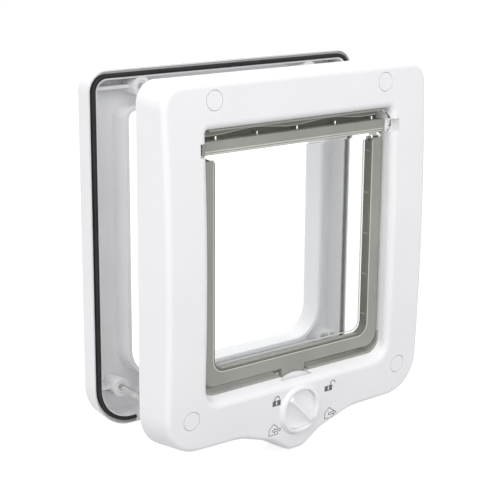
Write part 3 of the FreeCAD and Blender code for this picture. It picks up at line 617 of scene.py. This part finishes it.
def house(x, z, tip_x, tip_z, inward):
    """House outline with a gap in the right wall, and an arrow through it."""
    walls = [(x + HOUSE_HALF, z + DOOR_LOW), (x + HOUSE_HALF, z + HOUSE_FOOT),
             (x - HOUSE_HALF, z + HOUSE_FOOT), (x - HOUSE_HALF, z + EAVES_LEFT),
             (x, z + RIDGE), (x + HOUSE_HALF, z + EAVES_RIGHT), (x + HOUSE_HALF, z + DOOR_HIGH)]
    way, tail = (1, 6.6) if inward else (-1, 6.4)
    arrow = [(0, 0), (BARB_LONG, BARB_HIGH), (BARB_LONG, STEM_HALF), (tail, STEM_HALF),
             (tail, -STEM_HALF), (BARB_LONG, -STEM_HALF), (BARB_LONG, -BARB_HIGH)]
    arrow = [(tip_x + way * a, tip_z + way * b) for a, b in arrow]
    return [line_shape(walls, HOUSE_LINE), line_shape(arrow, HOUSE_LINE, closed=True)]


signs = {
    "sign_locked": padlock(-19.3, -93.6, shackle_x=-19.0, lift=1.2),
    "sign_open": padlock(24.0, -93.3, shackle_x=27.6, lift=1.5),
    "sign_way_in": house(-20.6, -111.3, tip_x=-21.6, tip_z=-112.2, inward=True),
    "sign_way_out": house(26.0, -110.9, tip_x=32.2, tip_z=-111.6, inward=False),
}
for name, shapes in signs.items():
    sign = as_piece(name, thin_solid(name, shapes), print_ink, "frame")
    print(name, len(sign.data.polygons), "faces")

# %% [markdown]
# Weather strip
# The dark strip in the rim of the outer half is a narrow round cord, a little
# further in than the CAD strip, and it stops at the foot. A curve with a bevel
# could be laid there, but its corners would need care. So a half round section
# is carried along the rim by its distance from the edge, and they stay round.

# %% Half round strip along the rim
CORD_INSET, CORD_DEPTH, CORD_HALF, CORD_CROWN, CORD_BACK = 3.7, 48.9, 1.3, 1.1, 50.9


def rim_path(inset, half=105.5, head=111.0, foot=-115.0, head_radius=13.0, foot_radius=27.0,
             end=74.8):
    """From the left end at the foot, up, over the head and down to the right end."""
    left = arc(-half + foot_radius, foot + foot_radius, foot_radius - inset, 270, 180, 14)
    head_left = arc(-half + head_radius, head - head_radius, head_radius - inset, 180, 90, 12)
    path = [(-end, foot + inset)] + left + head_left
    return path + [(-x, z) for x, z in path[::-1]]


def rim_strip(name, section, material, node):
    """section: (inset, depth) points round the strip, in mm."""
    build = bmesh.new()
    rows = [[build.verts.new(Vector((x, y, z)) * MM) for x, z in rim_path(inset)]
            for inset, y in section]
    for row, following in zip(rows, rows[1:] + rows[:1]):
        for k in range(len(row) - 1):
            build.faces.new((row[k], row[k + 1], following[k + 1], following[k]))
    build.faces.new([row[0] for row in rows])
    build.faces.new([row[-1] for row in rows])
    mesh = closed_mesh(name, build)
    mesh.polygons.foreach_set("use_smooth", [True] * len(mesh.polygons))
    mesh.set_sharp_from_angle(angle=math.radians(50))
    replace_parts(as_piece(name, mesh, material, "frame"), node)
    print(name, len(mesh.polygons), "faces")


crown = [(CORD_INSET - CORD_HALF * math.cos(math.radians(t)),
          CORD_DEPTH - CORD_CROWN * math.sin(math.radians(t))) for t in range(0, 181, 20)]
sides = [(CORD_INSET + CORD_HALF, CORD_BACK), (CORD_INSET - CORD_HALF, CORD_BACK)]
rim_strip("weather_strip", crown + sides, black_foam, "rear_gasket")

# %% [markdown]
# Soft strips in the passage
# Behind the grey strips the floor of the passage is lined with dark soft
# plastic. The lining's dark colour also stands in for the shade there as
# painted shade, so the slot under the flap looks dark. It is one thin band that
# goes down one side, round the corners and up the other. A curve with a
# bevel would do, but a closed outline pushed along the depth keeps square edges.

# %% Shapes pushed along the depth
def pushed(name, shapes, near, far, material, body):
    """Closed outlines in x and z, in mm, given a depth from near to far."""
    piece = as_piece(name, thin_solid(name, shapes, near, far), material, body)
    print(name, len(piece.data.polygons), "faces")


def foot_path(half, foot, head, radius, steps=8):
    """Down the left side, round both lower corners and up the right side."""
    left = arc(-half + radius, foot + radius, radius, 180, 270, steps)
    right = arc(half - radius, foot + radius, radius, 270, 360, steps)
    return [(-half, head)] + left + right + [(half, head)]


def foot_band(half, foot, head, radius, thick):
    """Shapes of a band of this thickness inside the path."""
    outside = foot_path(half, foot, head, radius)
    inside = foot_path(half - thick, foot + thick, head, radius - thick)
    return [[outside + inside[::-1]]]


# dark rubber lining, also painted shade for the shadowed slot
pushed("passage_lining_and_shade", foot_band(half=73.46, foot=-79.96, head=-64.0, radius=9.96, thick=0.5),
       -10.3, 1.2, dark_rubber_and_shade, "frame")

# %% [markdown]
# Soft filling of the flap rim
# The grey band of the flap is moulded round its clear rim, and its root fills
# the channel between the clear ties. The root is given the dark rubber as
# painted shade, for the shade in the channel behind the clear wall.
# Nodes could repeat one block, but the ties are not evenly spaced, so a short
# list of their places says it more plainly.

# %% Blocks between the ties
SIDE_TIES, SIDE_ENDS = [-52.7, -25.7, 1.3, 28.3, 55.3], (-65.0, 64.4)
FOOT_TIES, FOOT_ENDS = [-46.0, -16.0, 16.0, 58.0], (-62.5, 62.5)
TIE_HALF, CHANNEL = 0.7, (-15.6, -11.6)


def blocks(name, boxes, material, body):
    """One mesh of separate boxes, each (x0, x1, y0, y1, z0, z1) in mm."""
    build = bmesh.new()
    for x0, x1, y0, y1, z0, z1 in boxes:
        for v in bmesh.ops.create_cube(build, size=1)["verts"]:
            v.co = Vector(((x0 + x1) / 2 + v.co.x * (x1 - x0), (y0 + y1) / 2 + v.co.y * (y1 - y0),
                           (z0 + z1) / 2 + v.co.z * (z1 - z0))) * MM
    as_piece(name, closed_mesh(name, build), material, body)
    print(name, len(boxes), "blocks")


def gaps(ties, ends):
    """From tie to tie, each gap as its low and its high end."""
    stops = [ends[0]] + ties + [ends[1]]
    return [(low + TIE_HALF, high - TIE_HALF) for low, high in zip(stops, stops[1:])]


filling = [(*side, *CHANNEL, *gap) for gap in gaps(SIDE_TIES, SIDE_ENDS)
           for side in ((-69.6, -65.1), (65.1, 69.6))]
filling += [(*gap, *CHANNEL, -72.8, -68.3) for gap in gaps(FOOT_TIES, FOOT_ENDS)]
# painted shade: the band's grey root is coloured dark for the shade in the channel
blocks("rim_filling_painted_shade", filling, dark_rubber_and_shade, "flap")

# %% [markdown]
# Inner corners of the grey band
# In the CAD model the band turns in a small radius inside its lower corners.
# The real one has a soft web there. The band could be cut and drawn again,
# but two small webs laid in its corners give the same line.

# %% Corner webs
def corner_web(side, half=63.3, foot=-66.5, radius=7.0, under=0.3):
    """Shapes of the web in the left (-1) or right (1) corner."""
    bend = arc(half - radius, foot + radius, radius, 270, 360, 8)
    corner = [(half + under, foot - under), (half + under, foot + radius)]
    web = corner + bend[::-1][:-1] + [(half - radius, foot - under)]
    return [[[(side * x, z) for x, z in web]]]


for name, side in (("band_web_left", -1), ("band_web_right", 1)):
    pushed(name, corner_web(side), -17.25, -15.95, grey_tpe, "flap")

# %% [markdown]
# Head band
# Over the hinge bar a soft olive band closes the gap to the head of the
# opening. Its olive is lighter than the rubber's own colour, as painted light
# against the shade it sits in. Its lower edge is a little wavy, and the light
# bead along it is a painted highlight. The band is an outline with a wavy side,
# and Geometry Nodes lay the bead along the same wave, because its rule is a line
# that swings up and down. Drawn by hand, band and bead would soon part.

# %% Wavy band
WAVE_LOW, WAVE_HIGH, WAVE_LENGTH, WAVE_START = 77.6, 79.6, 61.0, -1.0
WAVE_MIDDLE, WAVE_SWING = (WAVE_LOW + WAVE_HIGH) / 2, (WAVE_HIGH - WAVE_LOW) / 2
BAND_HALF, BAND_HEAD, BAND_NEAR, BAND_FAR, BAND_STEPS = 69.2, 81.4, -13.8, -13.35, 60


def wave_z(x):
    """Height of the wavy edge at this place, in mm."""
    return WAVE_MIDDLE - WAVE_SWING * math.cos(2 * math.pi * (x - WAVE_START) / WAVE_LENGTH)


across = [-BAND_HALF + 2 * BAND_HALF * k / BAND_STEPS for k in range(BAND_STEPS + 1)]
wavy_edge = [(x, wave_z(x)) for x in across]
# olive rubber made lighter than its own colour as painted light; the tie ends use it as a painted
# highlight
lightened_olive_tpe = moulded("olive_rubber_painted_lighter", (0.25, 0.248, 0.208), (0.30, 0.297, 0.25),
                    (0.45, 0.6), **RUBBER_GRAIN)
pushed("head_band", [[wavy_edge + [(BAND_HALF, BAND_HEAD), (-BAND_HALF, BAND_HEAD)]]],
       BAND_NEAR, BAND_FAR, lightened_olive_tpe, "flap")

# %% Helpers that start, end and run a tree
def grower(name, sizes):
    """A node tree with named sizes in, and its group input and output."""
    tree = bpy.data.node_groups.new(name, "GeometryNodeTree")
    tree.interface.new_socket("Geometry", in_out="INPUT", socket_type="NodeSocketGeometry")
    for size_name, value in sizes.items():
        kind = "NodeSocketInt" if isinstance(value, int) else "NodeSocketFloat"
        socket = tree.interface.new_socket(size_name, in_out="INPUT", socket_type=kind)
        socket.default_value = value
    tree.interface.new_socket("Geometry", in_out="OUTPUT", socket_type="NodeSocketGeometry")
    return tree, add(tree, "NodeGroupInput"), add(tree, "NodeGroupOutput")


def finish_tree(tree, geometry, output, material):
    """Instances made real, and the material set, as the last steps."""
    real = add(tree, "GeometryNodeRealizeInstances")
    coat = add(tree, "GeometryNodeSetMaterial")
    coat.inputs["Material"].default_value = material
    link(tree, geometry, real.inputs[0])
    link(tree, real.outputs[0], coat.inputs["Geometry"])
    link(tree, coat.outputs[0], output.inputs["Geometry"])


def grown(name, tree, sizes, body):
    """Runs the tree once and keeps the plain mesh."""
    piece = bpy.data.objects.new(name, bpy.data.meshes.new(name + "_start"))
    bpy.context.scene.collection.objects.link(piece)
    modifier = piece.modifiers.new("grow", "NODES")
    modifier.node_group = tree
    for item in tree.interface.items_tree:
        if item.item_type == "SOCKET" and item.in_out == "INPUT" and item.name in sizes:
            modifier[item.identifier] = sizes[item.name]
    bpy.context.view_layer.update()
    graph = bpy.context.evaluated_depsgraph_get()
    mesh = bpy.data.meshes.new_from_object(piece.evaluated_get(graph))
    piece.modifiers.remove(modifier)
    piece.data = mesh
    mesh.name = name
    finish = [m for m in mesh.materials if m][0]
    mesh.materials.clear()
    mesh.materials.append(finish)
    mesh.polygons.foreach_set("material_index", [0] * len(mesh.polygons))
    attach(piece, body)
    print(name, len(mesh.polygons), "faces of", finish.name)


# %% Helpers inside a tree
def feed(tree, value, socket):
    """A number is typed into the socket, and a socket is linked to it."""
    if isinstance(value, (int, float)):
        socket.default_value = value
    else:
        link(tree, value, socket)


def maths(tree, operation, a, b=0.0):
    """A math node; a and b are sockets or numbers."""
    node = add(tree, "ShaderNodeMath", operation=operation)
    feed(tree, a, node.inputs[0])
    feed(tree, b, node.inputs[1])
    return node.outputs[0]


def point(tree, x, y, z):
    """A place from three sockets or numbers."""
    node = add(tree, "ShaderNodeCombineXYZ")
    for value, socket in zip((x, y, z), node.inputs):
        feed(tree, value, socket)
    return node.outputs[0]


def straight(tree, half, y, z):
    """A line from left to right through this depth and height."""
    line = add(tree, "GeometryNodeCurvePrimitiveLine")
    link(tree, point(tree, maths(tree, "MULTIPLY", half, -1.0), y, z), line.inputs["Start"])
    link(tree, point(tree, half, y, z), line.inputs["End"])
    return line.outputs[0]


def swept(tree, path, radius, corners):
    """The path with a round section of so many corners, closed at its ends."""
    circle = add(tree, "GeometryNodeCurvePrimitiveCircle")
    circle.inputs["Resolution"].default_value = corners
    link(tree, radius, circle.inputs["Radius"])
    tube = add(tree, "GeometryNodeCurveToMesh")
    link(tree, path, tube.inputs["Curve"])
    link(tree, circle.outputs[0], tube.inputs["Profile Curve"])
    tube.inputs["Fill Caps"].default_value = True
    return tube.outputs[0]


def placed(tree, places, shape):
    """The shape once on every point."""
    spots = add(tree, "GeometryNodeInstanceOnPoints")
    link(tree, places, spots.inputs["Points"])
    link(tree, shape, spots.inputs["Instance"])
    return spots.outputs[0]


# %% Painted highlight bead along the wave
# painted highlight: a light rubber colour for the light caught by the wavy edge, the bar ridges, the
# pane edge and the band edge
highlight_tpe = moulded("painted_highlight_rubber", (0.62, 0.625, 0.585), (0.66, 0.665, 0.625),
                    (0.4, 0.52), grains=1900.0, height=0.00002, patches=40.0)
bead_sizes = {"Half width": BAND_HALF * MM, "Depth": BAND_NEAR * MM,
              "Middle height": WAVE_MIDDLE * MM, "Swing": WAVE_SWING * MM,
              "Wave length": WAVE_LENGTH * MM, "Wave start": WAVE_START * MM,
              "Bead radius": 0.0003, "Points": 90}
bead_tree, given, result = grower("wavy_highlight_bead", bead_sizes)
line = straight(bead_tree, given.outputs["Half width"], given.outputs["Depth"],
                given.outputs["Middle height"])
many = add(bead_tree, "GeometryNodeResampleCurve")
link(bead_tree, line, many.inputs["Curve"])
link(bead_tree, given.outputs["Points"], many.inputs["Count"])
where = add(bead_tree, "GeometryNodeInputPosition")
apart = add(bead_tree, "ShaderNodeSeparateXYZ")
link(bead_tree, where.outputs[0], apart.inputs[0])
from_start = maths(bead_tree, "SUBTRACT", apart.outputs["X"], given.outputs["Wave start"])
turns = maths(bead_tree, "DIVIDE", from_start, given.outputs["Wave length"])
swing = maths(bead_tree, "COSINE", maths(bead_tree, "MULTIPLY", turns, 2 * math.pi))
rise = maths(bead_tree, "MULTIPLY", swing, given.outputs["Swing"])
shift = add(bead_tree, "GeometryNodeSetPosition")
link(bead_tree, many.outputs[0], shift.inputs["Geometry"])
link(bead_tree, point(bead_tree, 0.0, 0.0, maths(bead_tree, "MULTIPLY", rise, -1.0)),
     shift.inputs["Offset"])
bead = swept(bead_tree, shift.outputs[0], given.outputs["Bead radius"], corners=8)
finish_tree(bead_tree, bead, result, highlight_tpe)
grown("head_band_highlight_bead", bead_tree, bead_sizes, "flap")

# %% [markdown]
# Lip round the window
# The grey band turns back along the window side of the rim as a thin lip, in a
# darker rubber than the band as painted shade, and a light strip behind it is a
# painted highlight on the edge of the clear pane. They could be cut out of the
# band, but they follow the same outline, only further in, so they come from
# the path made above.

# %% Lip in painted shade and pane edge as painted highlight
WINDOW_HEAD = 62.0
# the band's grey rubber, made darker as painted shade on the lip
lip_shade_tpe = moulded("lip_rubber_painted_shade", (0.135, 0.133, 0.108), (0.165, 0.163, 0.135),
                  (0.45, 0.6), **RUBBER_GRAIN)
pushed("rim_lip", foot_band(half=63.25, foot=-66.45, head=WINDOW_HEAD, radius=8.2, thick=1.1),
       -17.0, -11.5, lip_shade_tpe, "flap")
# painted highlight on the edge of the clear pane
pushed("pane_edge_highlight", foot_band(half=60.9, foot=-64.1, head=WINDOW_HEAD, radius=6.6, thick=0.6),
       -12.0, -11.5, highlight_tpe, "flap")

# %% Painted highlights on the band edge and the tie ends
END_HALF, END_DEPTH = 0.45, (-16.4, -12.2)
# painted highlight along the rounded inner edge of the grey band
pushed("band_edge_highlight", foot_band(half=63.75, foot=-66.95, head=WINDOW_HEAD, radius=8.4, thick=0.55),
       -17.42, -17.1, highlight_tpe, "flap")
# painted highlight: olive ends on the clear ties stand for the light they catch
ends = [(*side, *END_DEPTH, z - END_HALF, z + END_HALF) for z in SIDE_TIES
        for side in ((-62.25, -62.0), (62.0, 62.25))]
ends += [(x - END_HALF, x + END_HALF, *END_DEPTH, -65.4, -65.15) for x in FOOT_TIES]
blocks("tie_ends", ends, lightened_olive_tpe, "flap")
blocks("foot_ledge", [(-56.0, 56.0, -15.9, -12.3, -65.36, -65.1)], grey_tpe, "flap")

# %% [markdown]
# Left hinge disc and the end of the bar
# On the left the grey bar runs over the clear disc to the wall, so the disc
# doesn't stand in front of it. A copy of the clear panel with that disc cut
# flat takes the panel's place, and a short end is added to the bar. Cutting
# the mesh with another solid would also work, but moving points is surer.

# %% Flatten the disc and close the bar
FLAT, DISC_LEFT, DISC_FOOT = -18.35, -69.5, 64


def flat_disc(x, y, z):
    """New depth of a point of the clear panel, in mm."""
    return FLAT if x < DISC_LEFT and z > DISC_FOOT and y < FLAT else y


def flat_normal(p, n):
    """Straight to the front where the disc was cut."""
    at_cut = flat_disc(*p) != p.y and abs(n.x) < 0.7
    return Vector((0, -1, 0)) if at_cut else n


moved_copy("flap_panel", "clear_panel", "flap", flat_disc, flat_normal)
blocks("bar_end", [(-72.9, -71.15, -18.6, -13.4, 67.25, 75.15)], grey_tpe, "flap")

# %% [markdown]
# Ridges on the hinge bar
# Two thin ridges run along the foot of the grey hinge bar; their light
# colour is a painted highlight. Two rods laid by hand would look the same, but
# the ridges repeat with one spacing, so Geometry Nodes put one rounded strip on
# each point of a short line, and the count and the spacing stay open to change.

# %% Grow the ridges
ridge_sizes = {"Half length": 0.0708, "Depth": -0.0186, "First height": 0.0680,
               "Spacing": 0.0013, "Ridge radius": 0.00038, "Ridges": 2}
ridge_tree, given, result = grower("bar_ridges", ridge_sizes)
line = straight(ridge_tree, given.outputs["Half length"], 0.0, 0.0)
strip = swept(ridge_tree, line, given.outputs["Ridge radius"], corners=10)
rows = add(ridge_tree, "GeometryNodeMeshLine")
link(ridge_tree, given.outputs["Ridges"], rows.inputs["Count"])
link(ridge_tree, point(ridge_tree, 0.0, given.outputs["Depth"], given.outputs["First height"]),
     rows.inputs["Start Location"])
link(ridge_tree, point(ridge_tree, 0.0, 0.0, given.outputs["Spacing"]), rows.inputs["Offset"])
# the ridges are real, their light colour is a painted highlight
finish_tree(ridge_tree, placed(ridge_tree, rows.outputs[0], strip), result, highlight_tpe)
grown("bar_ridges", ridge_tree, ridge_sizes, "flap")

# %% [markdown]
# Screw threads
# Each long screw is threaded where it enters the outer half. A bump on the
# shank would be enough from afar, but the thread shows in the gap between the
# halves, so a spiral is swept once and placed on the four screws.

# %% Grow the threads
thread_sizes = {"Pitch": 0.0008, "Thread radius": 0.0020, "Thread size": 0.00024,
                "Start depth": 0.0285, "Top half width": 0.0673, "Top height": 0.0995,
                "Low half width": 0.0852, "Low height": -0.0896, "Turns": 23}
thread_tree, given, result = grower("screw_threads", thread_sizes)
spiral = add(thread_tree, "GeometryNodeCurveSpiral")
spiral.inputs["Resolution"].default_value = 14
link(thread_tree, given.outputs["Turns"], spiral.inputs["Rotations"])
link(thread_tree, given.outputs["Thread radius"], spiral.inputs["Start Radius"])
link(thread_tree, given.outputs["Thread radius"], spiral.inputs["End Radius"])
link(thread_tree, maths(thread_tree, "MULTIPLY", given.outputs["Pitch"], given.outputs["Turns"]),
     spiral.inputs["Height"])
coil = swept(thread_tree, spiral.outputs[0], given.outputs["Thread size"], corners=4)
lay = add(thread_tree, "GeometryNodeTransform")
link(thread_tree, coil, lay.inputs["Geometry"])
lay.inputs["Rotation"].default_value = (-math.pi / 2, 0, 0)
spots = add(thread_tree, "GeometryNodeJoinGeometry")
for level in ("Top", "Low"):
    half, height = given.outputs[level + " half width"], given.outputs[level + " height"]
    pair = add(thread_tree, "GeometryNodeMeshLine", mode="END_POINTS")
    pair.inputs["Count"].default_value = 2
    left = maths(thread_tree, "MULTIPLY", half, -1.0)
    link(thread_tree, point(thread_tree, left, given.outputs["Start depth"], height),
         pair.inputs["Start Location"])
    link(thread_tree, point(thread_tree, half, given.outputs["Start depth"], height),
         pair.inputs["Offset"])
    link(thread_tree, pair.outputs[0], spots.inputs[0])
threads = placed(thread_tree, spots.outputs[0], lay.outputs[0])
finish_tree(thread_tree, threads, result, zinc)
grown("screw_threads", thread_tree, thread_sizes, "frame")
